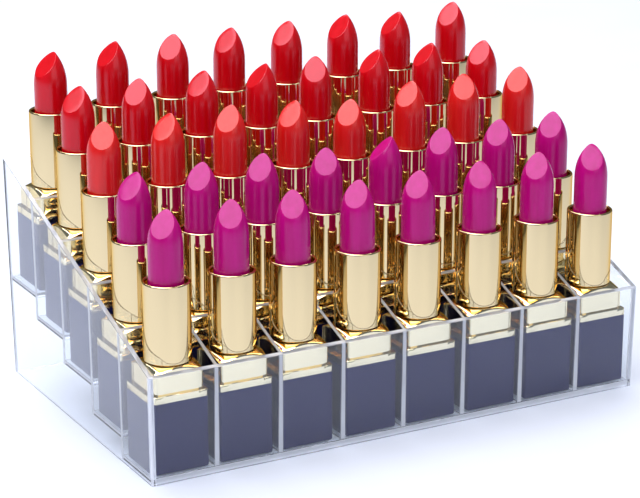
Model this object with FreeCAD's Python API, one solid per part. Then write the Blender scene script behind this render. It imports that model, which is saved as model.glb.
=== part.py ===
import FreeCAD, Part
import math
import os

# A clear moulded lipstick organizer: stepped rows of square pockets, every pocket holding one twist-up
# lipstick. Millimetres, +Z up, origin at the middle of the footprint on the table, front towards -Y.

# Rack: pockets, outline and plates. Rows count from the front, columns from the left.
columns = 8
rows = 5
base_play = 1.45            # between a lipstick's base and the foot of a divider beside it
row_play = 1.75             # between a lipstick's base and the row walls before and behind it
front_height = 40.4         # top of the front wall above the table
back_height = 87.4          # top of the back wall above the table
floor_height = 2.6          # top of the first row's floor above the table
floor_step_shares = [0.0, 0.87, 2.08, 3.1, 4.06]    # rise of each row's floor, in steps of the rim's slope
side_wall = 1.8
end_wall = 1.6              # front and back walls
row_wall = 1.4
floor_plate = 1.6
divider_foot = 1.7          # a divider is thicker where it stands on its floor
divider_rim = 1.2
outer_margin = 0.4          # outer faces beyond the outermost pitch lines, at the table
draft_angle = 0.75          # degrees that the four outer walls lean outwards
upright_round = 0.8         # rounding of the rack's four upright corners
overrun = 10.0              # how far a cutting or trimming solid passes what it trims

# Lipstick base: a square moulded shell, closed below.
base_side = 20.8
base_height = 26.5
base_wall = 1.4
base_floor = 1.6
base_round = 0.9

# Lipstick collar: a square band on the shell, a narrower block above it and a turned shoulder.
band_height = 2.8
block_side = 18.6
block_height = 6.9          # from the band to the block's corners
block_round = 1.4
shoulder_rise = 2.3         # from the block's corners to the foot of the sleeve
plug_depth = 4.0            # reach of the collar inside the shell
plug_wall = 1.0

# Lipstick sleeve, guide tube, carrier cup and wax bullet, one inside the other.
bullet_radius = 6.3
cup_wall = 0.5
guide_wall = 0.5
sleeve_wall = 1.1
sleeve_height = 28.8
seam = 0.4                  # running gap between shoulder and sleeve
seat_gap = 0.05             # between pieces that are pressed together
run_gap = 0.1               # between pieces that slide or turn in each other
guide_recess = 3.0          # top of the guide tube below the sleeve's rim
cup_recess = 3.5            # top of the cup below the rim with the bullet raised
cup_height = 9.0
cup_floor = 1.0
lug_width = 2.0
lug_height = 2.4
bullet_show = 25.0          # bullet tip above the rim when fully raised
tip_cover = 1.0             # rim above the tip when fully wound down
nose_height = 12.4          # tapering end of the bullet
nose_arc = 21.0             # radius of the arc that tapers its back
tip_lean = 1.25             # how far the nose's sections move back at the tip, which sharpens it
lean_order = 5              # how late they move: power of the height in the nose
nose_section_shares = [0.0, 0.15, 0.3, 0.45, 0.6, 0.75, 0.88, 1.0]
cut_angle = 46.0            # slope of the slanted cut, in degrees

# How far each cut is turned from the front of the rack towards its left side, in degrees.
ahead = 30.0
slight = 45.0
halfway = 59.0
far = 73.0
side = 87.0
away = 104.0
cut_turns = [
    [slight, ahead, ahead, slight, slight, ahead, slight, ahead],
    [halfway, slight, slight, ahead, away, slight, slight, slight],
    [ahead, halfway, slight, halfway, slight, halfway, ahead, slight],
    [halfway, slight, halfway, side, ahead, side, side, halfway],
    [far, far, slight, halfway, halfway, far, side, halfway],
]

# Where each lipstick stands in its pocket, as a share of the play beside its base.
left = -0.7
middle = 0.0
right = 0.7
stand_shares = [
    [middle, middle, left, middle, middle, right, right, middle],
    [middle, right, middle, right, right, middle, middle, left],
    [middle, middle, middle, right, middle, right, middle, middle],
    [right, middle, right, right, left, middle, left, left],
    [right, right, right, middle, middle, middle, left, middle],
]

# Share of its showing length by which a bullet stands lower than fully raised, by row, then the odd ones.
row_sink_shares = [0.0, 0.045, 0.0, 0.075, 0.07]
odd_sink_shares = {(2, 4): 0.1, (3, 4): 0.06, (3, 5): 0.16, (4, 8): 0.15, (5, 1): 0.12, (5, 7): 0.12}

column_pitch = base_side + 2 * base_play + divider_foot
row_pitch = base_side + 2 * row_play + row_wall
lean = math.tan(math.radians(draft_angle))
half_width = columns * column_pitch / 2 + outer_margin
half_depth = rows * row_pitch / 2 + outer_margin
front_rim_y = -half_depth - lean * front_height
back_rim_y = half_depth + lean * back_height
rim_slope = (back_height - front_height) / (back_rim_y - front_rim_y)
row_step = rim_slope * row_pitch
grid_shift = -(front_rim_y + back_rim_y) / 2    # centres the outline, since the back leans out further

collar_foot = base_height
block_foot = collar_foot + band_height
corner_top = block_foot + block_height
shoulder_top = corner_top + shoulder_rise
sleeve_foot = shoulder_top + seam
rim_top = sleeve_foot + sleeve_height
plug_foot = collar_foot - plug_depth
cup_bore = bullet_radius + seat_gap
cup_radius = cup_bore + cup_wall
guide_bore = cup_radius + run_gap
guide_radius = guide_bore + guide_wall
sleeve_bore = guide_radius + run_gap
sleeve_radius = sleeve_bore + sleeve_wall
cup_top = rim_top - cup_recess
cup_foot = cup_top - cup_height
bullet_foot = cup_foot + cup_floor
travel = bullet_show + tip_cover


def rim_height(y):
    """Height of the sloping top edge that all side walls and dividers share."""
    return front_height + rim_slope * (y - front_rim_y)


def floor_top(row):
    return floor_height + floor_step_shares[row - 1] * row_step


def plate(side_view, front_view):
    """A flat panel from its two views: (y, z) corners seen from the side, (x, z) corners from the front."""
    reach_x = half_width + overrun
    reach_y = half_depth + overrun
    across = [FreeCAD.Vector(-reach_x, y, z) for y, z in side_view]
    along = [FreeCAD.Vector(x, -reach_y, z) for x, z in front_view]
    side_prism = Part.Face(Part.makePolygon(across + across[:1])).extrude(FreeCAD.Vector(2 * reach_x, 0, 0))
    front_prism = Part.Face(Part.makePolygon(along + along[:1])).extrude(FreeCAD.Vector(0, 2 * reach_y, 0))
    return side_prism.common(front_prism).Solids[0]


def front_face(row, z):
    """Front end of a row's floor and dividers at a height: the leaning front wall, or the row wall there."""
    if row == 1:
        return -half_depth + end_wall - lean * z
    return (row - 1 - rows / 2) * row_pitch + row_wall / 2


def back_face(row, z):
    """Back end of a row's floor and dividers at a height: the row wall behind it or the leaning back wall."""
    if row == rows:
        return half_depth - end_wall + lean * z
    return (row - rows / 2) * row_pitch - row_wall / 2


def inner_view():
    """Front view of what lies between the side panels, which spreads with their lean."""
    foot = half_width - side_wall
    rim = foot + lean * back_height
    return [(-foot, 0), (foot, 0), (rim, back_height), (-rim, back_height)]


def side_panel(hand):
    """Outer side panel, on the left with hand -1: one sloping top edge, rounded outer corners."""
    outline = [(-half_depth, 0), (half_depth, 0), (back_rim_y, back_height), (front_rim_y, front_height)]
    shift = lean * back_height
    strip = [(half_width - side_wall, 0), (half_width, 0)]
    strip += [(half_width + shift, back_height), (half_width - side_wall + shift, back_height)]
    panel = plate(outline, [(hand * x, z) for x, z in strip])
    corners = []
    for edge in panel.Edges:
        low, high = sorted((vertex.Point for vertex in edge.Vertexes), key=lambda point: point.z)
        upright = abs(high.y - low.y) + abs(high.x - low.x) < high.z - low.z
        if upright and abs(low.x) > half_width - side_wall / 2:
            corners.append(edge)
    return panel.makeFillet(upright_round, corners)


def slope_meets(face, row):
    """Point of the common slope on a row's end wall, which may lean."""
    foot = face(row, 0)
    tilt = (face(row, back_height) - foot) / back_height
    height = rim_height(foot) / (1 - rim_slope * tilt)
    return face(row, height), height


def end_panel(face, row, outer_foot, outer_top):
    """Front or back wall of the rack, leaning outwards and topped by the common slope."""
    return plate([(face(row, 0), 0), (outer_foot, 0), outer_top, slope_meets(face, row)], inner_view())


def riser(row):
    """Wall behind a row, from the underside of that row's floor up to the common slope."""
    near = back_face(row, 0)
    behind = front_face(row + 1, 0)
    foot = floor_top(row) - floor_plate
    top = [(behind, rim_height(behind)), (near, rim_height(near))]
    return plate([(near, foot), (behind, foot)] + top, inner_view())


def pocket_floor(row):
    top = floor_top(row)
    foot = top - floor_plate
    view = [(front_face(row, foot), foot), (back_face(row, foot), foot)]
    view += [(back_face(row, top), top), (front_face(row, top), top)]
    return plate(view, inner_view())


def divider(row, line):
    """Tapered divider between two columns of one row, standing on its floor."""
    foot = floor_top(row)
    near = slope_meets(front_face, row)
    behind = slope_meets(back_face, row)
    line_x = (line - columns / 2) * column_pitch
    top = behind[1]
    strip = [(line_x - divider_foot / 2, foot), (line_x + divider_foot / 2, foot)]
    strip += [(line_x + divider_rim / 2, top), (line_x - divider_rim / 2, top)]
    return plate([(front_face(row, foot), foot), (back_face(row, foot), foot), behind, near], strip)


def square_block(width, rounding, foot, height):
    """Upright square bar with rounded corners, centred on the lipstick's axis."""
    corner = FreeCAD.Vector(-width / 2, -width / 2, foot)
    bar = Part.makeBox(width, width, height, corner)
    uprights = [edge for edge in bar.Edges if abs(edge.Vertexes[0].Z - edge.Vertexes[1].Z) > height / 2]
    return bar.makeFillet(rounding, uprights)


def disc(radius, foot, height):
    return Part.makeCylinder(radius, height, FreeCAD.Vector(0, 0, foot))


def turned(points):
    """Solid turned about the lipstick's axis from (radius, height) points of a closed profile."""
    ring = [FreeCAD.Vector(radius, 0, z) for radius, z in points]
    face = Part.Face(Part.makePolygon(ring + ring[:1]))
    return face.revolve(FreeCAD.Vector(0, 0, 0), FreeCAD.Vector(0, 0, 1), 360)


def base_shell():
    hollow = square_block(base_side - 2 * base_wall, base_round, base_floor, base_height)
    return square_block(base_side, base_round, 0, base_height).cut(hollow)


def collar():
    """Band, block and plug in one piece: the block's top is turned, so its sides end in low arches."""
    plug_side = base_side - 2 * base_wall - 2 * seat_gap
    hollow_side = plug_side - 2 * plug_wall
    reach = block_side / math.sqrt(2)
    shoulder = turned([(0, block_foot), (reach, block_foot), (reach, corner_top),
                       (sleeve_radius, shoulder_top), (0, shoulder_top)])
    block = square_block(block_side, block_round, block_foot, block_height + shoulder_rise).common(shoulder)
    body = square_block(base_side, base_round, collar_foot, band_height).fuse(block)
    plug = square_block(plug_side, base_round, plug_foot, plug_depth)
    hollow = square_block(hollow_side, base_round, plug_foot, plug_depth)
    bore = disc(guide_radius + seat_gap, plug_foot, shoulder_top)
    return body.fuse(plug.cut(hollow)).cut(bore).removeSplitter()


def guide_tube():
    """Fixed inner tube with two straight slots, which keep the cup from turning."""
    top = rim_top - guide_recess
    height = top - collar_foot
    tube = disc(guide_radius, collar_foot, height).cut(disc(guide_bore, collar_foot, height))
    slot_top = cup_foot + (cup_height + lug_height) / 2 + run_gap
    slot_height = lug_height + travel + 2 * run_gap
    slot_width = lug_width + 2 * run_gap
    corner = FreeCAD.Vector(-guide_radius - overrun, -slot_width / 2, slot_top - slot_height)
    return tube.cut(Part.makeBox(2 * (guide_radius + overrun), slot_width, slot_height, corner))


def sleeve():
    """Round outer tube with a full-round rim."""
    shoulder = rim_top - sleeve_wall / 2
    foot = [FreeCAD.Vector(radius, 0, sleeve_foot) for radius in (sleeve_bore, sleeve_radius)]
    outer = FreeCAD.Vector(sleeve_radius, 0, shoulder)
    crown = FreeCAD.Vector(sleeve_radius - sleeve_wall / 2, 0, rim_top)
    inner = FreeCAD.Vector(sleeve_bore, 0, shoulder)
    edges = [Part.LineSegment(foot[0], foot[1]), Part.LineSegment(foot[1], outer)]
    edges += [Part.Arc(outer, crown, inner), Part.LineSegment(inner, foot[0])]
    face = Part.Face(Part.Wire([edge.toShape() for edge in edges]))
    return face.revolve(FreeCAD.Vector(0, 0, 0), FreeCAD.Vector(0, 0, 1), 360)


def cup():
    """Carrier cup with the two lugs that ride in the guide tube's slots."""
    lug_foot = cup_foot + (cup_height - lug_height) / 2
    reach = guide_radius - run_gap
    bar = Part.makeBox(2 * reach, lug_width, lug_height, FreeCAD.Vector(-reach, -lug_width / 2, lug_foot))
    lugs = bar.common(disc(reach, lug_foot, lug_height))
    hollow = disc(cup_bore, bullet_foot, cup_height)
    return disc(cup_radius, cup_foot, cup_height).fuse(lugs).cut(hollow).removeSplitter()


def bullet():
    """Wax bullet: a round bar with a nose lofted through circles. The nose's back follows one tangent arc and
    its sections lean back to the tip. A slanted cut that faces -Y slices it from the tip down."""
    tip = rim_top + bullet_show
    shoulder = tip - nose_height

    def back(rise):
        return bullet_radius - nose_arc + math.sqrt(nose_arc ** 2 - rise ** 2)

    def section(share):
        rise = share * nose_height
        lean_back = tip_lean * share ** lean_order
        middle_point = FreeCAD.Vector(0, lean_back, shoulder + rise)
        return Part.Wire(Part.makeCircle(back(rise) - lean_back, middle_point))

    nose = Part.makeLoft([section(share) for share in nose_section_shares], True)
    bar = disc(bullet_radius, bullet_foot, shoulder - bullet_foot).fuse(nose)
    knife = Part.makeBox(2 * nose_arc, 2 * nose_arc, nose_arc, FreeCAD.Vector(-nose_arc, -2 * nose_arc, 0))
    knife.rotate(FreeCAD.Vector(0, 0, 0), FreeCAD.Vector(1, 0, 0), cut_angle)
    knife.translate(FreeCAD.Vector(0, back(nose_height), tip))
    return bar.cut(knife)


def axis_x(row, column):
    """Sideways place of a lipstick's axis: its pocket's middle, or a little beside it."""
    return (column - (columns + 1) / 2) * column_pitch + stand_shares[row - 1][column - 1] * base_play


def placed(piece, row, column, turn, sink):
    """Copy of a lipstick's piece in its pocket, turned about its own axis and lowered."""
    y = (row - (rows + 1) / 2) * row_pitch
    spot = FreeCAD.Vector(axis_x(row, column), y, floor_top(row) - sink)
    copy = piece.copy()
    copy.Placement = FreeCAD.Placement(spot, FreeCAD.Rotation(FreeCAD.Vector(0, 0, 1), turn))
    return copy


def keep(name, solids):
    group = Part.makeCompound(solids)
    group.translate(FreeCAD.Vector(0, grid_shift, 0))
    group.exportStep(f"parts/{name}.step")


os.makedirs("parts", exist_ok=True)

# The rack, by kind of panel.
keep("side_panels", [side_panel(-1), side_panel(1)])
cross_walls = [end_panel(front_face, 1, -half_depth, (front_rim_y, front_height))]
cross_walls += [riser(row) for row in range(1, rows)]
cross_walls.append(end_panel(back_face, rows, half_depth, (back_rim_y, back_height)))
keep("cross_walls", cross_walls)
keep("pocket_floors", [pocket_floor(row) for row in range(1, rows + 1)])
keep("column_dividers", [divider(row, line) for row in range(1, rows + 1) for line in range(1, columns)])

# One lipstick's pieces, then a copy in every pocket. The front row's come apart into the pieces that move.
fixed_pieces = [base_shell(), collar(), guide_tube()]
sleeve_piece = sleeve()
cup_piece = cup()
bullet_piece = bullet()
for row in range(1, rows + 1):
    for column in range(1, columns + 1):
        share = odd_sink_shares.get((row, column), row_sink_shares[row - 1])
        sink = share * bullet_show
        body = [placed(piece, row, column, 0, 0) for piece in fixed_pieces]
        tube = [placed(sleeve_piece, row, column, 0, 0)]
        wax = [placed(cup_piece, row, column, 0, sink)]
        wax.append(placed(bullet_piece, row, column, -cut_turns[row - 1][column - 1], sink))
        name = f"lipstick_{row}_{column}"
        if row == 1:
            keep(f"{name}_base", body)
            keep(f"{name}_sleeve", tube)
            keep(f"{name}_bullet", wax)
        else:
            keep(name, body + tube + wax)
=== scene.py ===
import math

import bmesh
import bpy
import numpy as np
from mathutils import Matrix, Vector


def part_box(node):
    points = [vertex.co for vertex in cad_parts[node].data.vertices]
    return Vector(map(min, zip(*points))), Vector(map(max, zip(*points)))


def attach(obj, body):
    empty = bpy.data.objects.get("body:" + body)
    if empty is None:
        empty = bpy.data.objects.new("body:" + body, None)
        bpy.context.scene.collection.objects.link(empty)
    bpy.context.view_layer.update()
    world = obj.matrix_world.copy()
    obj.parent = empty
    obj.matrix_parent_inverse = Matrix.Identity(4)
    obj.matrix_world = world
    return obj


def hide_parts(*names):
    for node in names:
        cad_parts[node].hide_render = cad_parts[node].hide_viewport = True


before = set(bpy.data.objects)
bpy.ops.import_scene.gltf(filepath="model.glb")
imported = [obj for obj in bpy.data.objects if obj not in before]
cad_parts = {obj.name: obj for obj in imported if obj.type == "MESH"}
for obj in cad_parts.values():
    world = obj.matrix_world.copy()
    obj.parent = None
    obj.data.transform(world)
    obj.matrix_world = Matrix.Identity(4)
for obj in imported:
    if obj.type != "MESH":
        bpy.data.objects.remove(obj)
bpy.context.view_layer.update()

# Rack
# One clear acrylic moulding: five stepped rows of eight square pockets under one sloping rim. Its outer walls
# lean outwards and its dividers taper, so that it leaves the mould. It stands on the lower edge of its walls.
columns = 8
rows = 5
column_pitch = 0.0254
row_pitch = 0.0257
front_height = 0.0404
lean = math.tan(math.radians(0.75))
side_wall = 0.0018
end_wall = 0.0016
row_wall = 0.0014
floor_plate = 0.0016
divider_foot = 0.0017
divider_rim = 0.0012
upright_round = 0.0008
upright_segments = 4
upright_finish = 2          # place in the rack's list of materials, as below
edge_round = 0.00022
edge_segments = 2
edge_finish = 1
acrylic_ior = 1.49
acrylic_colour = (0.955, 0.98, 1.0)
acrylic_shade = (0.975, 0.98, 0.99)         # tint of the light that passes straight through
acrylic_roughness = (0.0, 0.03)
gloss_grain = 0.011         # patches of slightly different gloss
wave_length = 0.016         # faint waves that the mould leaves
wave_depth = 0.00004
edge_grain = 0.005          # cloudy patches along edges
# pale colour of the cut edges: partly their own slight frosting, partly painted light for the light they
# gather
edge_colour = (0.86, 0.88, 0.97)
edge_shade = (0.9, 0.92, 0.96)
edge_roughness = (0.08, 0.18)
edge_clearness = 0.7
upright_clearness = 0.35
noise_span = (0.3, 0.7)     # most values of the soft noise lie between these
caught_after = 10           # reflections and passages after which a ray counts as caught in a wall
painted_light_share = 0.6            # upper part of a floor's end that gets painted light, its lower edge stays clear
painted_light_foot = 0.0004          # height above the table where the painted light in the front wall's foot begins
# pale sheets of painted light where walls end on one another, for the light that such ends gather
painted_light_colour = (0.9, 0.92, 1.0)
painted_light_roughness = (0.5, 0.6)
painted_light_cover = 0.55


def lipstick_node(row, column, piece):
    """Name of the node that holds a piece of a lipstick. Only the front row's come apart into several nodes.
    The body that carries a moving piece has the same name."""
    name = f"lipstick_{row}_{column}"
    return f"{name}_{piece}" if row == 1 else name


def pocket(row, column):
    """Where a lipstick stands in its pocket and the floor's height, from the box of what stands there."""
    low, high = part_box(lipstick_node(row, column, "base"))
    return (low.x + high.x) / 2, (low.y + high.y) / 2, low.z


pockets = np.array([[pocket(r + 1, c + 1) for c in range(columns)] for r in range(rows)])
floor_z = pockets[:, 0, 2]
panel_low, panel_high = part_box("side_panels")
rim_slope = (panel_high.z - front_height) / (panel_high.y - panel_low.y)


def half_width(z):
    """Half of the outer width at a height: the widest half less the lean of the walls above."""
    return panel_high.x - lean * (panel_high.z - z)


def front_y(z):
    """Outer front face at a height."""
    return panel_low.y + lean * (front_height - z)


def back_y(z):
    """Outer back face at a height."""
    return panel_high.y - lean * (panel_high.z - z)


row_lines = (front_y(0) + back_y(0)) / 2 + (np.arange(1, rows) - rows / 2) * row_pitch
column_lines = (np.arange(1, columns) - columns / 2) * column_pitch
under_z = floor_z - floor_plate


def rack_surface():
    """Closed surface of the moulding. The rim is a lattice of wall lines on one slope. Every second cell of
    it sinks to a pocket floor. The outline goes down to the table and up again below the stepped floors."""
    x_count = 2 * columns + 2
    y_count = 2 * rows + 2
    either_side = np.array([-0.5, 0.5])
    risers = (row_lines[:, None] + row_wall * either_side).ravel()
    y_rim = np.concatenate([[panel_low.y, panel_low.y + end_wall], risers,
                            [panel_high.y - end_wall, panel_high.y]])
    z_rim = front_height + rim_slope * (y_rim - panel_low.y)
    outer = half_width(z_rim)
    tops = (column_lines[:, None] + divider_rim * either_side).ravel()
    x_rim = np.concatenate([[-outer, side_wall - outer], np.repeat(tops[:, None], y_count, axis=1),
                            [outer - side_wall, outer]])
    rim = np.stack(np.broadcast_arrays(x_rim, y_rim, z_rim), axis=-1)

    feet = (column_lines[:, None] + divider_foot * either_side).ravel()
    inner = half_width(floor_z) - side_wall
    x_foot = np.concatenate([-inner[:, None], np.repeat(feet[None], rows, axis=0), inner[:, None]], axis=1)
    y_foot = np.concatenate([[front_y(floor_z[0]) + end_wall], risers, [back_y(floor_z[-1]) - end_wall]])
    floors = np.empty((columns, rows, 2, 2, 3))
    floors[..., 0] = x_foot.T.reshape(columns, 2, rows).transpose(0, 2, 1)[..., None]
    floors[..., 1] = y_foot.reshape(rows, 2)[None, :, None, :]
    floors[..., 2] = floor_z[None, :, None, None]

    step_y = risers[1::2]
    path_y = np.concatenate([[front_y(0) + end_wall, front_y(under_z[0]) + end_wall], np.repeat(step_y, 2),
                             [back_y(under_z[-1]) - end_wall, back_y(0) - end_wall]])
    path_z = np.concatenate([[0], np.repeat(under_z, 2), [0]])
    path_x = half_width(path_z) - side_wall
    hollow = np.stack([np.stack([-path_x, path_y, path_z], -1), np.stack([path_x, path_y, path_z], -1)])
    foot = np.array([[[side * half_width(0), end(0), 0] for end in (front_y, back_y)] for side in (-1, 1)])

    points = np.concatenate([block.reshape(-1, 3) for block in (rim, floors, hollow, foot)])
    rim_at = np.arange(x_count * y_count).reshape(x_count, y_count)
    floor_at = rim_at.size + np.arange(columns * rows * 4).reshape(columns, rows, 2, 2)
    hollow_at = rim_at.size + floor_at.size + np.arange(2 * len(path_y)).reshape(2, -1)
    foot_at = rim_at.size + floor_at.size + hollow_at.size + np.arange(4).reshape(2, 2)

    cells = np.stack([rim_at[:-1, :-1], rim_at[1:, :-1], rim_at[1:, 1:], rim_at[:-1, 1:]], axis=-1)
    wall_top = np.ones(cells.shape[:2], bool)
    wall_top[1::2, 1::2] = False
    mouths = cells[1::2, 1::2].reshape(-1, 4)
    bottoms = floor_at[..., [0, 1, 1, 0], [0, 0, 1, 1]].reshape(-1, 4)
    sides = np.stack([mouths, np.roll(mouths, -1, 1), np.roll(bottoms, -1, 1), bottoms], -1).reshape(-1, 4)
    steps = np.stack([hollow_at[0, :-1], hollow_at[0, 1:], hollow_at[1, 1:], hollow_at[1, :-1]], -1)
    ring = [[foot_at[0, 0], foot_at[1, 0], hollow_at[1, 0], hollow_at[0, 0]],
            [foot_at[1, 0], foot_at[1, 1], hollow_at[1, -1], hollow_at[1, 0]],
            [foot_at[1, 1], foot_at[0, 1], hollow_at[0, -1], hollow_at[1, -1]],
            [foot_at[0, 1], foot_at[0, 0], hollow_at[0, 0], hollow_at[0, -1]]]
    walls = [[*rim_at[0], foot_at[0, 1], foot_at[0, 0]], [*rim_at[-1], foot_at[1, 1], foot_at[1, 0]],
             [*rim_at[:, 0], foot_at[1, 0], foot_at[0, 0]], [*rim_at[:, -1], foot_at[1, 1], foot_at[0, 1]],
             list(hollow_at[0]), list(hollow_at[1])]
    faces = np.concatenate([cells[wall_top], bottoms, sides, steps]).tolist() + ring + walls
    uprights = np.stack([rim_at[[0, 0, -1, -1], [0, -1, 0, -1]], foot_at.ravel()], axis=-1)
    return points, faces, uprights, int(wall_top.sum())


def new_piece(name, points, faces, material):
    """Mesh object at the origin with its place in its points and one material."""
    mesh = bpy.data.meshes.new(name)
    mesh.from_pydata(np.asarray(points).tolist(), [], faces)
    mesh.materials.append(material)
    piece = bpy.data.objects.new(name, mesh)
    bpy.context.scene.collection.objects.link(piece)
    return piece


def new_material(name):
    """Material with its principled shader, and the object coordinates that its patterns read."""
    material = bpy.data.materials.new(name)
    material.use_nodes = True
    nodes = material.node_tree.nodes
    return material, nodes["Principled BSDF"], nodes.new("ShaderNodeTexCoord").outputs["Object"]


def speckle(material, place, size, stretch=(1, 1, 1)):
    """Soft noise whose grains measure about size metres, drawn out along each axis by stretch."""
    tree = material.node_tree
    mapping = tree.nodes.new("ShaderNodeMapping")
    mapping.inputs["Scale"].default_value = [1 / (size * s) for s in stretch]
    noise = tree.nodes.new("ShaderNodeTexNoise")
    noise.inputs["Scale"].default_value = 1
    noise.inputs["Detail"].default_value = 2
    tree.links.new(place, mapping.inputs["Vector"])
    tree.links.new(mapping.outputs["Vector"], noise.inputs["Vector"])
    return noise.outputs["Fac"]


def spread(material, value, limits, socket):
    """Carries a noise value into a socket, between two limits."""
    tree = material.node_tree
    span = tree.nodes.new("ShaderNodeMapRange")
    span.inputs["From Min"].default_value, span.inputs["From Max"].default_value = noise_span
    span.inputs["To Min"].default_value, span.inputs["To Max"].default_value = limits
    tree.links.new(value, span.inputs["Value"])
    tree.links.new(span.outputs["Result"], socket)


def relief(material, shader, value, depth):
    """Bump of that depth in metres from a noise value."""
    tree = material.node_tree
    bump = tree.nodes.new("ShaderNodeBump")
    bump.inputs["Distance"].default_value = depth
    tree.links.new(value, bump.inputs["Height"])
    tree.links.new(bump.outputs["Normal"], shader.inputs["Normal"])


def let_light_through(material, shader, tint):
    """Lets some rays pass straight: those from lamps and lit surfaces, so that thin clear walls cast only a
    faint shadow, and those caught inside a wall for long, which would leave its ends black."""
    tree = material.node_tree
    path = tree.nodes.new("ShaderNodeLightPath")
    caught = tree.nodes.new("ShaderNodeMath")
    caught.operation = "GREATER_THAN"
    caught.inputs[1].default_value = caught_after
    either = tree.nodes.new("ShaderNodeMath")
    either.operation = "MAXIMUM"
    any_of_them = tree.nodes.new("ShaderNodeMath")
    any_of_them.operation = "MAXIMUM"
    film = tree.nodes.new("ShaderNodeBsdfTransparent")
    film.inputs["Color"].default_value = (*tint, 1)
    blend = tree.nodes.new("ShaderNodeMixShader")
    tree.links.new(path.outputs["Is Shadow Ray"], either.inputs[0])
    tree.links.new(path.outputs["Is Diffuse Ray"], either.inputs[1])
    tree.links.new(path.outputs["Ray Depth"], caught.inputs[0])
    tree.links.new(either.outputs["Value"], any_of_them.inputs[0])
    tree.links.new(caught.outputs["Value"], any_of_them.inputs[1])
    tree.links.new(any_of_them.outputs["Value"], blend.inputs["Fac"])
    tree.links.new(shader.outputs["BSDF"], blend.inputs[1])
    tree.links.new(film.outputs["BSDF"], blend.inputs[2])
    tree.links.new(blend.outputs["Shader"], tree.nodes["Material Output"].inputs["Surface"])


def clear_acrylic():
    """Polished clear plastic with the faint waviness that a mould leaves."""
    material, shader, place = new_material("clear_acrylic")
    shader.inputs["Base Color"].default_value = (*acrylic_colour, 1)
    shader.inputs["Transmission Weight"].default_value = 1
    shader.inputs["IOR"].default_value = acrylic_ior
    spread(material, speckle(material, place, gloss_grain), acrylic_roughness, shader.inputs["Roughness"])
    relief(material, shader, speckle(material, place, wave_length), wave_depth)
    let_light_through(material, shader, acrylic_shade)
    return material


def acrylic_edge(name, clearness):
    """Cut edges and roundings of the same plastic, pale and a little cloudy: partly a slight frosting of
    their own, partly painted light for the light that they gather.
    """
    material, shader, place = new_material(name)
    shader.inputs["Base Color"].default_value = (*edge_colour, 1)
    shader.inputs["Transmission Weight"].default_value = clearness
    shader.inputs["IOR"].default_value = acrylic_ior
    spread(material, speckle(material, place, edge_grain), edge_roughness, shader.inputs["Roughness"])
    let_light_through(material, shader, edge_shade)
    return material


def painted_light_sheets():
    """Pale sheets of painted light inside the moulding where one wall ends on another, standing in for the
    light
    that such ends gather: dividers and side panels on the front wall, and end walls, risers and floors on
    both side panels. One more stands in the front wall's foot, before the lowest floor, as painted light over
    the shade there. Each is a quad between two heights."""
    low, high = floor_z[0], front_height
    wedge = np.array([-divider_foot, divider_foot, divider_rim, -divider_rim]) / 2
    across = [line + wedge for line in column_lines]
    across += [(side * (half_width(low) - side_wall), side * half_width(low),
                side * half_width(high), side * (half_width(high) - side_wall)) for side in (-1, 1)]
    near = front_y(np.array([low, low, high, high])) + end_wall
    sheets = [[(x, y, z) for x, y, z in zip(corners, near, (low, low, high, high))] for corners in across]
    inside = half_width(under_z[0]) - side_wall
    sheets.append([(side * inside, front_y(z) + end_wall / 2, z)
                   for side, z in ((-1, painted_light_foot), (1, painted_light_foot), (1, low), (-1, low))])

    walls = [(front_y(0), front_y(0) + end_wall, 0), (back_y(0) - end_wall, back_y(0), 0)]
    walls += [(y - row_wall / 2, y + row_wall / 2, z) for y, z in zip(row_lines, under_z)]
    ends = [(front, back, foot, front_height + rim_slope * (front - panel_low.y))
            for front, back, foot in walls]
    fronts = [walls[0][1], *(row_lines + row_wall / 2)]
    backs = [*(row_lines - row_wall / 2), walls[1][0]]
    ends += zip(fronts, backs, floor_z - painted_light_share * floor_plate, floor_z)
    for side in (-1, 1):
        for front, back, foot, top in ends:
            x_foot, x_top = side * (half_width(foot) - side_wall), side * (half_width(top) - side_wall)
            sheets.append([(x_foot, front, foot), (x_foot, back, foot),
                           (x_top, back, top), (x_top, front, top)])
    return np.array(sheets).reshape(-1, 3), np.arange(4 * len(sheets)).reshape(-1, 4).tolist()


def painted_seam_light():
    """Faint pale sheet of painted light: a wall seen end on gathers light, and this paints it in."""
    material, shader, place = new_material("painted_seam_light")
    shader.inputs["Base Color"].default_value = (*painted_light_colour, 1)
    shader.inputs["Alpha"].default_value = painted_light_cover
    spread(material, speckle(material, place, edge_grain), painted_light_roughness, shader.inputs["Roughness"])
    return material


rack_points, rack_faces, rack_uprights, rim_count = rack_surface()
rack = new_piece("rack", rack_points, rack_faces, clear_acrylic())
rack.data.materials.append(acrylic_edge("acrylic_edge", edge_clearness))
rack.data.materials.append(acrylic_edge("acrylic_upright", upright_clearness))
# Wall tops and roundings take the pale edge finishes, which are partly painted light.
on_rim = np.arange(len(rack_faces)) < rim_count
rack.data.polygons.foreach_set("material_index", on_rim * np.int32(edge_finish))
shell = bmesh.new()
shell.from_mesh(rack.data)
bmesh.ops.recalc_face_normals(shell, faces=shell.faces)
shell.to_mesh(rack.data)
shell.free()
edge_ends = np.empty(2 * len(rack.data.edges), np.int32)
rack.data.edges.foreach_get("vertices", edge_ends)
pair_key = [len(rack_points), 1]
upright_keys = np.sort(rack_uprights, axis=1) @ pair_key
is_upright = np.isin(np.sort(edge_ends.reshape(-1, 2), axis=1) @ pair_key, upright_keys)
weights = rack.data.attributes.new("bevel_weight_edge", "FLOAT", "EDGE")
weights.data.foreach_set("value", is_upright.astype(np.float32))
for limit, width, segments, finish in (("WEIGHT", upright_round, upright_segments, upright_finish),
                                       ("ANGLE", edge_round, edge_segments, edge_finish)):
    bevel = rack.modifiers.new(f"round_{limit.lower()}", "BEVEL")
    bevel.limit_method = limit
    bevel.width = width
    bevel.segments = segments
    bevel.material = finish
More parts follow.
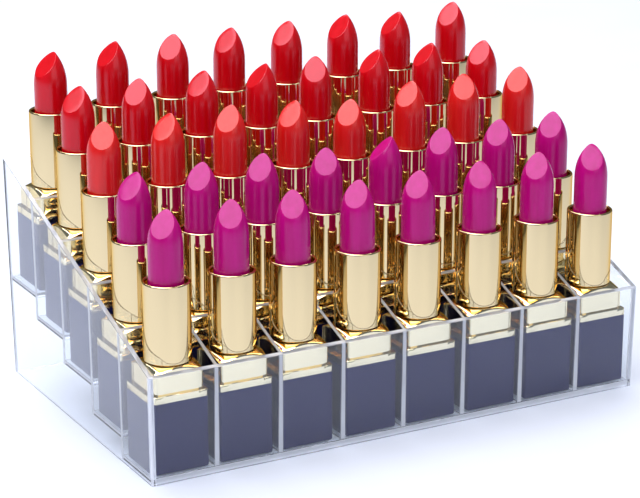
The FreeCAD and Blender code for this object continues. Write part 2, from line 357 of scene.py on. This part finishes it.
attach(rack, "rack")
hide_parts("side_panels", "cross_walls", "pocket_floors", "column_dividers")
# Pale sheets of painted light inside the moulding, where walls end on one another.
painted_seam_piece = new_piece("rack_painted_light", *painted_light_sheets(), painted_seam_light())
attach(painted_seam_piece, "rack")
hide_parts("side_panels", "cross_walls", "pocket_floors", "column_dividers")

# Lipstick bases
# A square navy shell moulded in satin plastic, closed below, with softly rounded edges. It stands loose on
# its pocket's floor.
base_side = 0.0208
base_height = 0.0265
base_wall = 0.0014
base_floor = 0.0016
base_round = 0.0009
foot_round = 0.0006
foot_gap = 0.00006          # air film between the base and its floor
hub_share = 0.02            # flat faces end in a very small ring about the axis
navy_colour = (0.006, 0.008, 0.074)
navy_shine = 0.08
navy_roughness = (0.3, 0.42)
satin_grain = 0.004
moulded_grain = 0.0004
moulded_depth = 0.000008
corner_steps = 7
side_steps = 9


def around_square():
    """Directions of the rings' points: close together round each corner, a few along each side."""
    half = base_side / 2
    turn = np.linspace(0, math.pi / 2, corner_steps)
    corner = half - base_round + base_round * np.stack([np.cos(turn), np.sin(turn)])
    along = np.linspace(corner[0, -1], -corner[0, -1], side_steps + 2)[1:-1]
    quarter = np.concatenate([np.arctan2(corner[1], corner[0]), np.arctan2(half, along)])
    return (quarter + np.arange(4)[:, None] * math.pi / 2).ravel()


directions = around_square()


def square_reach(side, rounding):
    """Distance from the axis to a square with rounded corners, in each direction: to the flat side, or to the
    corner's arc where the direction passes the end of the flat."""
    half = side / 2
    across = np.abs(np.cos(directions))
    along = np.abs(np.sin(directions))
    flat = half / np.maximum(across, along)
    arc_middle = half - rounding
    near = arc_middle * (across + along)
    arc = near + np.sqrt(np.maximum(near ** 2 - 2 * arc_middle ** 2 + rounding ** 2, 0))
    return np.where(flat * np.minimum(across, along) <= arc_middle, flat, arc)


def ring_points(around, reaches, heights, spot):
    """Rings about a lipstick's axis through the directions around it. The reach and height of a ring are each
    one number or one per direction."""
    reach, height = (np.stack([np.broadcast_to(value, around.shape) for value in values])
                     for values in (reaches, heights))
    x, y, z = spot
    return np.stack([x + reach * np.cos(around), y + reach * np.sin(around), z + height], axis=-1)


def ring_faces(levels, around, closed):
    """Quads between successive rings, outwards where they climb. A closed loft joins the last ring to the
    first, an open one ends in two flat caps."""
    at = np.arange(levels * around).reshape(levels, around)
    upper = np.roll(at, -1, 0) if closed else at[1:]
    lower = at if closed else at[:-1]
    quads = np.stack([lower, np.roll(lower, -1, 1), np.roll(upper, -1, 1), upper], axis=-1).reshape(-1, 4)
    caps = [] if closed else [at[0, ::-1].tolist(), at[-1].tolist()]
    return quads.tolist() + caps


def smooth(piece, crease=40):
    """Smooth shading with a crease where faces meet at more than that many degrees."""
    piece.data.shade_smooth()
    piece.data.set_sharp_from_angle(angle=math.radians(crease))


def lofted(name, around, reaches, heights, spot, material, closed=True):
    """Smooth piece through rings about a lipstick's axis, each at its own reach and height."""
    rings = ring_points(around, reaches, heights, spot)
    faces = ring_faces(rings.shape[0], rings.shape[1], closed)
    piece = new_piece(name, rings.reshape(-1, 3), faces, material)
    smooth(piece)
    return piece


def navy_plastic():
    """Satin navy plastic with a fine moulded grain."""
    material, shader, place = new_material("navy_plastic")
    shader.inputs["Base Color"].default_value = (*navy_colour, 1)
    shader.inputs["Specular IOR Level"].default_value = navy_shine
    spread(material, speckle(material, place, satin_grain), navy_roughness, shader.inputs["Roughness"])
    relief(material, shader, speckle(material, place, moulded_grain), moulded_depth)
    return material


def every_lipstick():
    """Row, column, body and pocket of each lipstick."""
    for row in range(1, rows + 1):
        for column in range(1, columns + 1):
            yield row, column, f"lipstick_{row}_{column}", pockets[row - 1, column - 1]


navy = navy_plastic()
wall_reach = square_reach(base_side, base_round)
soft_reach = square_reach(base_side - 2 * foot_round, base_round)
hollow_reach = square_reach(base_side - 2 * base_wall, base_round)
base_rings = [
    (hollow_reach * hub_share, foot_gap), (soft_reach, foot_gap),
    ((soft_reach + 2 * wall_reach) / 3, foot_round / 4), (wall_reach, foot_round),
    (wall_reach, base_height), (hollow_reach, base_height),
    (hollow_reach, base_floor), (hollow_reach * hub_share, base_floor),
]
for row, column, body, spot in every_lipstick():
    base = lofted(f"{body}_shell", directions, *zip(*base_rings), spot, navy, closed=False)
    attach(base, body)
    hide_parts(lipstick_node(row, column, "base"))

# Collars
# A gold square band on the base and a narrower block above it, whose top is turned to a cone: the block's
# sides end in low arches and its corners in small flats. A plug below holds it in the base.
band_height = 0.0028
block_side = 0.0186
block_height = 0.0069
block_round = 0.0014
shoulder_rise = 0.0023
plug_depth = 0.004
plug_wall = 0.001
seat_gap = 0.00005          # around pieces that sit fast
run_gap = 0.0001            # around pieces that slide or turn
sleeve_wall = 0.0011
guide_wall = 0.0005
cup_wall = 0.0005
bullet_radius = 0.0063
seam = 0.0004               # open line between collar and sleeve
edge_break = 0.0002
cloud_size = 0.006          # patches of slightly different polish
gold_roughness = (0.03, 0.06)
cup_radius = bullet_radius + seat_gap + cup_wall
guide_bore = cup_radius + run_gap
guide_radius = guide_bore + guide_wall
sleeve_bore = guide_radius + run_gap
sleeve_radius = sleeve_bore + sleeve_wall
block_foot = base_height + band_height
corner_top = block_foot + block_height
shoulder_top = corner_top + shoulder_rise


def gold_metal(name, colour, edge_tint):
    """Polished gold with faint cloudy changes of gloss, and a deeper tint where it is seen at a low angle."""
    material, shader, place = new_material(name)
    shader.inputs["Base Color"].default_value = (*colour, 1)
    shader.inputs["Metallic"].default_value = 1
    shader.inputs["Specular Tint"].default_value = (*edge_tint, 1)
    spread(material, speckle(material, place, cloud_size), gold_roughness, shader.inputs["Roughness"])
    return material


pale_gold = gold_metal("pale_gold_metal", colour=(0.86, 0.76, 0.53), edge_tint=(0.9, 0.7, 0.35))
cone_reach = block_side / math.sqrt(2)
block_reach = square_reach(block_side, block_round)
arch = corner_top + (cone_reach - block_reach) * shoulder_rise / (cone_reach - sleeve_radius)
plug_reach = square_reach(base_side - 2 * base_wall - 2 * seat_gap, base_round)
plug_inside = square_reach(base_side - 2 * base_wall - 2 * seat_gap - 2 * plug_wall, base_round)
bore = guide_radius + seat_gap
collar_rings = [
    (plug_inside, base_height - plug_depth), (plug_reach, base_height - plug_depth),
    (plug_reach, base_height), (wall_reach - edge_break, base_height),
    (wall_reach, base_height + edge_break), (wall_reach, block_foot - edge_break),
    (wall_reach - edge_break, block_foot), (block_reach, block_foot), (block_reach, arch - edge_break),
    (block_reach - edge_break, arch), (sleeve_radius, shoulder_top),
    (bore, shoulder_top), (bore, base_height), (plug_inside, base_height),
]
for row, column, body, spot in every_lipstick():
    collar = lofted(f"{body}_collar", directions, *zip(*collar_rings), spot, pale_gold)
    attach(collar, body)
    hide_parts(lipstick_node(row, column, "base"))

# Guide tubes
# A thin gold metal tube inside each sleeve. It is fixed in the collar, and the carrier cup slides up and down
# in it.
sleeve_foot = shoulder_top + seam
sleeve_height = 0.0288
guide_recess = 0.003
rim_top = sleeve_foot + sleeve_height
gold = gold_metal("gold_metal", colour=(0.755, 0.605, 0.35), edge_tint=(0.85, 0.55, 0.18))
turns = 72
round_directions = np.linspace(0, 2 * math.pi, turns, endpoint=False)
guide_rings = [(guide_bore, base_height), (guide_radius, base_height),
               (guide_radius, rim_top - guide_recess), (guide_bore, rim_top - guide_recess)]
for row, column, body, spot in every_lipstick():
    guide = lofted(f"{body}_guide", round_directions, *zip(*guide_rings), spot, gold)
    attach(guide, body)
    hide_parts(lipstick_node(row, column, "base"))

# Sleeves
# A polished gold tube with a full-round rim, drawn from thin metal. It stands on the collar, over the guide
# tube, and turns to wind the bullet up and down.
rim_steps = 9
rim_turn = np.linspace(0, math.pi, rim_steps)
rim_reach = sleeve_radius - sleeve_wall / 2 + sleeve_wall / 2 * np.cos(rim_turn)
rim_rise = rim_top - sleeve_wall / 2 + sleeve_wall / 2 * np.sin(rim_turn)
sleeve_rings = [(sleeve_bore, sleeve_foot), (sleeve_radius - edge_break, sleeve_foot),
                (sleeve_radius, sleeve_foot + edge_break), *zip(rim_reach, rim_rise)]
for row, column, body, spot in every_lipstick():
    sleeve = lofted(f"{body}_tube", round_directions, *zip(*sleeve_rings), spot, gold)
    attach(sleeve, lipstick_node(row, column, "sleeve"))
    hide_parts(lipstick_node(row, column, "sleeve"))

# Wax bullets and their cups
# Each bullet is cast in a round mould with a tapering nose and a slanted cut, and sits in a thin gold cup.
# The two front rows are magenta, the middle row is coral and the two back rows are red.
cup_recess = 0.0035
cup_height = 0.009
cup_floor = 0.001
bullet_show = 0.025
nose_height = 0.0124
nose_arc = 0.021
tip_lean = 0.00125          # the nose's middle lies this far behind the axis at the tip
lean_order = 5              # and gets there with this power of the height
cut_angle = math.radians(46)
cut_soft = 0.00015          # width of the cut's softened edge
cut_match = 0.005           # faces whose slope is this close to the cut's belong to it
flat_shares = np.array([0.97, 0.6, 0.25])   # rings over the flat, as shares of its outline
# paler streaks in the wax's colour: partly its own uneven tone, partly painted reflections of tall lights
streak_width = 0.0025
streak_stretch = (1, 1, 9)
wax_grain = 0.003
wax_roughness = (0.2, 0.24)
lengths = 22                # rings along a bullet's side
halvings = 40
foot_below_tip = bullet_show + cup_recess + cup_height - cup_floor


def nose_section(drop):
    """Radius of the wax at a depth below the tip, and how far its middle lies behind the axis. The back is
    straight below the nose and a tangent arc above, and the middle moves back with a power of the height in
    the nose."""
    rise = np.maximum(nose_height - drop, 0)
    behind = tip_lean * (rise / nose_height) ** lean_order
    return bullet_radius - nose_arc + np.sqrt(nose_arc ** 2 - rise ** 2) - behind, behind


def cut_facing(node):
    """Direction that a bullet's slanted cut faces, from the faces of its node that have the cut's slope."""
    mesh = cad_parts[node].data
    normals = np.empty(3 * len(mesh.polygons), np.float32)
    areas = np.empty(len(mesh.polygons), np.float32)
    mesh.polygons.foreach_get("normal", normals)
    mesh.polygons.foreach_get("area", areas)
    normals = normals.reshape(-1, 3)
    on_cut = np.abs(normals[:, 2] - math.cos(cut_angle)) < cut_match
    mean = (normals * areas[:, None])[on_cut].sum(axis=0)
    return math.atan2(mean[1], mean[0])


def bullet_rings(tip, facing):
    """Rings of a bullet: up its side to the slanted cut, round the cut's soft edge and in over the flat. The
    cut's depth below the tip in each direction is found by halving the interval in which the side meets the
    plane."""
    forward = np.cos(round_directions - facing)
    tip_back = sum(nose_section(0))     # the cut's plane starts at the back of the tip
    above = np.zeros(turns)
    below = np.full(turns, foot_below_tip)
    for _ in range(halvings):
        drop = (above + below) / 2
        reach, behind = nose_section(drop)
        outside = drop < math.tan(cut_angle) * (reach * forward - behind + tip_back)
        above = np.where(outside, drop, above)
        below = np.where(outside, below, drop)

    def on_side(drop):
        """Points of the side at a depth below the tip in each direction."""
        reach, behind = nose_section(drop)
        x = tip[0] + reach * np.cos(round_directions) - behind * math.cos(facing)
        y = tip[1] + reach * np.sin(round_directions) - behind * math.sin(facing)
        return np.stack([x, y, tip[2] - drop], axis=-1)

    share = np.linspace(0, 1, lengths)[:, None]
    side = on_side(foot_below_tip + (below + cut_soft - foot_below_tip) * share)
    outline = on_side(below)
    middle = outline.mean(axis=0)
    flat = middle + (outline - middle) * flat_shares[:, None, None]
    edge = (side[-1] + 2 * outline + flat[0]) / 4
    return np.concatenate([side, edge[None], flat])


def wax(name, colour, pale, shine, gleam=(1, 1, 1)):
    """Satin wax: one colour, a little paler in soft streaks drawn out along the bullet, partly the wax's own
    uneven tone and partly painted reflections of tall lights, with its own share and tint of shine."""
    material, shader, place = new_material(name)
    tree = material.node_tree
    shader.inputs["Specular IOR Level"].default_value = shine
    shader.inputs["Specular Tint"].default_value = (*gleam, 1)
    blend = tree.nodes.new("ShaderNodeMix")
    blend.data_type = "RGBA"
    blend.inputs["A"].default_value = (*colour, 1)
    blend.inputs["B"].default_value = (*pale, 1)
    streaks = speckle(material, place, streak_width, streak_stretch)
    spread(material, streaks, (0, 1), blend.inputs["Factor"])
    tree.links.new(blend.outputs["Result"], shader.inputs["Base Color"])
    spread(material, speckle(material, place, wax_grain), wax_roughness, shader.inputs["Roughness"])
    return material


magenta_wax = wax("magenta_wax", colour=(0.39, 0.001, 0.14), pale=(0.45, 0.003, 0.18), shine=0.4,
                  gleam=(0.85, 0.67, 1))
coral_wax = wax("coral_wax", colour=(0.58, 0.005, 0.006), pale=(0.66, 0.014, 0.013), shine=0.45)
red_wax = wax("red_wax", colour=(0.50, 0.0003, 0.003), pale=(0.57, 0.001, 0.007), shine=0.5,
              gleam=(1, 0.82, 1))
wax_of_row = [magenta_wax, magenta_wax, coral_wax, red_wax, red_wax]
wax_faces = ring_faces(lengths + 1 + len(flat_shares), turns, closed=False)
wax_reach = bullet_radius + seat_gap
cup_reaches = [cup_radius * hub_share, cup_radius, cup_radius, wax_reach, wax_reach, wax_reach * hub_share]
cup_rises = np.array([0, 0, cup_height, cup_height, cup_floor / 2, cup_floor / 2])
for row, column, body, spot in every_lipstick():
    carrier = lipstick_node(row, column, "bullet")
    tip_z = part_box(carrier)[1].z
    rings = bullet_rings((spot[0], spot[1], tip_z), cut_facing(carrier))
    bullet = new_piece(f"{body}_wax", rings.reshape(-1, 3), wax_faces, wax_of_row[row - 1])
    smooth(bullet)
    cup_foot = tip_z - foot_below_tip - cup_floor - spot[2]
    cup = lofted(f"{body}_cup", round_directions, cup_reaches, cup_foot + cup_rises, spot, gold, closed=False)
    for piece in (bullet, cup):
        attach(piece, carrier)
        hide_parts(carrier)

# Stage
# A plain white floor, broad soft lights above, in front and behind, and the viewpoint. The glow of the floor
# and of the world fills the shadows.
floor_size = 6.0
floor_drop = 0.0002         # the floor lies just below the rack's foot
floor_colour = (0.585, 0.615, 0.73)
floor_roughness = (0.5, 0.6)
floor_grain = 0.05
glow_colour = (0.85, 0.93, 1.0)
glow_strength = 0.13
sky_colour = (0.8, 0.9, 1.0)
sky_strength = 0.2


def white_floor():
    """Matt white sheet with a faint glow of its own, so that it stays pale beside the part."""
    material, shader, place = new_material("white_floor")
    shader.inputs["Base Color"].default_value = (*floor_colour, 1)
    shader.inputs["Emission Color"].default_value = (*glow_colour, 1)
    shader.inputs["Emission Strength"].default_value = glow_strength
    spread(material, speckle(material, place, floor_grain), floor_roughness, shader.inputs["Roughness"])
    return material


floor_corners = np.array([(-1, -1), (1, -1), (1, 1), (-1, 1)]) * floor_size / 2
floor_points = np.column_stack([floor_corners, np.full(4, -floor_drop)])
floor = new_piece("floor", floor_points, [[0, 1, 2, 3]], white_floor())


def soft_light(name, place, aim, size, power):
    """Square area light that faces a point."""
    light = bpy.data.lights.new(name, "AREA")
    light.size = size
    light.energy = power
    lamp = bpy.data.objects.new(name, light)
    bpy.context.scene.collection.objects.link(lamp)
    lamp.location = place
    lamp.rotation_euler = (lamp.location - Vector(aim)).to_track_quat("Z", "Y").to_euler()


part_middle = (0, 0, 0.06)
floor_behind = (0.35, 0.75, 0)
soft_light("top_light", place=(-0.52, -0.14, 1.33), aim=part_middle, size=1.4, power=30)
soft_light("front_light", place=(0.2, -1.7, 0.95), aim=part_middle, size=1.5, power=7)
soft_light("back_light", place=(0.35, 1.1, 1.5), aim=floor_behind, size=1.4, power=27)
world = bpy.data.worlds.new("studio")
world.use_nodes = True
world.node_tree.nodes["Background"].inputs["Color"].default_value = (*sky_colour, 1)
world.node_tree.nodes["Background"].inputs["Strength"].default_value = sky_strength
bpy.context.scene.world = world

picture_width = 640
focal_pixels = 2346.6
view_azimuth = math.radians(28.55)
view_elevation = math.radians(17.93)
view_place = (-0.41026, -0.75405, 0.33083)
camera_data = bpy.data.cameras.new("camera")
camera_data.sensor_fit = "HORIZONTAL"
camera_data.lens = focal_pixels / picture_width * camera_data.sensor_width
camera = bpy.data.objects.new("camera", camera_data)
bpy.context.scene.collection.objects.link(camera)
camera.location = view_place
camera.rotation_euler = (math.pi / 2 - view_elevation, 0, -view_azimuth)
bpy.context.scene.camera = camera
bpy.context.scene.view_settings.view_transform = "Standard"
bpy.context.scene.cycles.max_bounces = 24
bpy.context.scene.cycles.transmission_bounces = 24
bpy.context.scene.cycles.glossy_bounces = 8
bpy.context.scene.cycles.transparent_max_bounces = 32
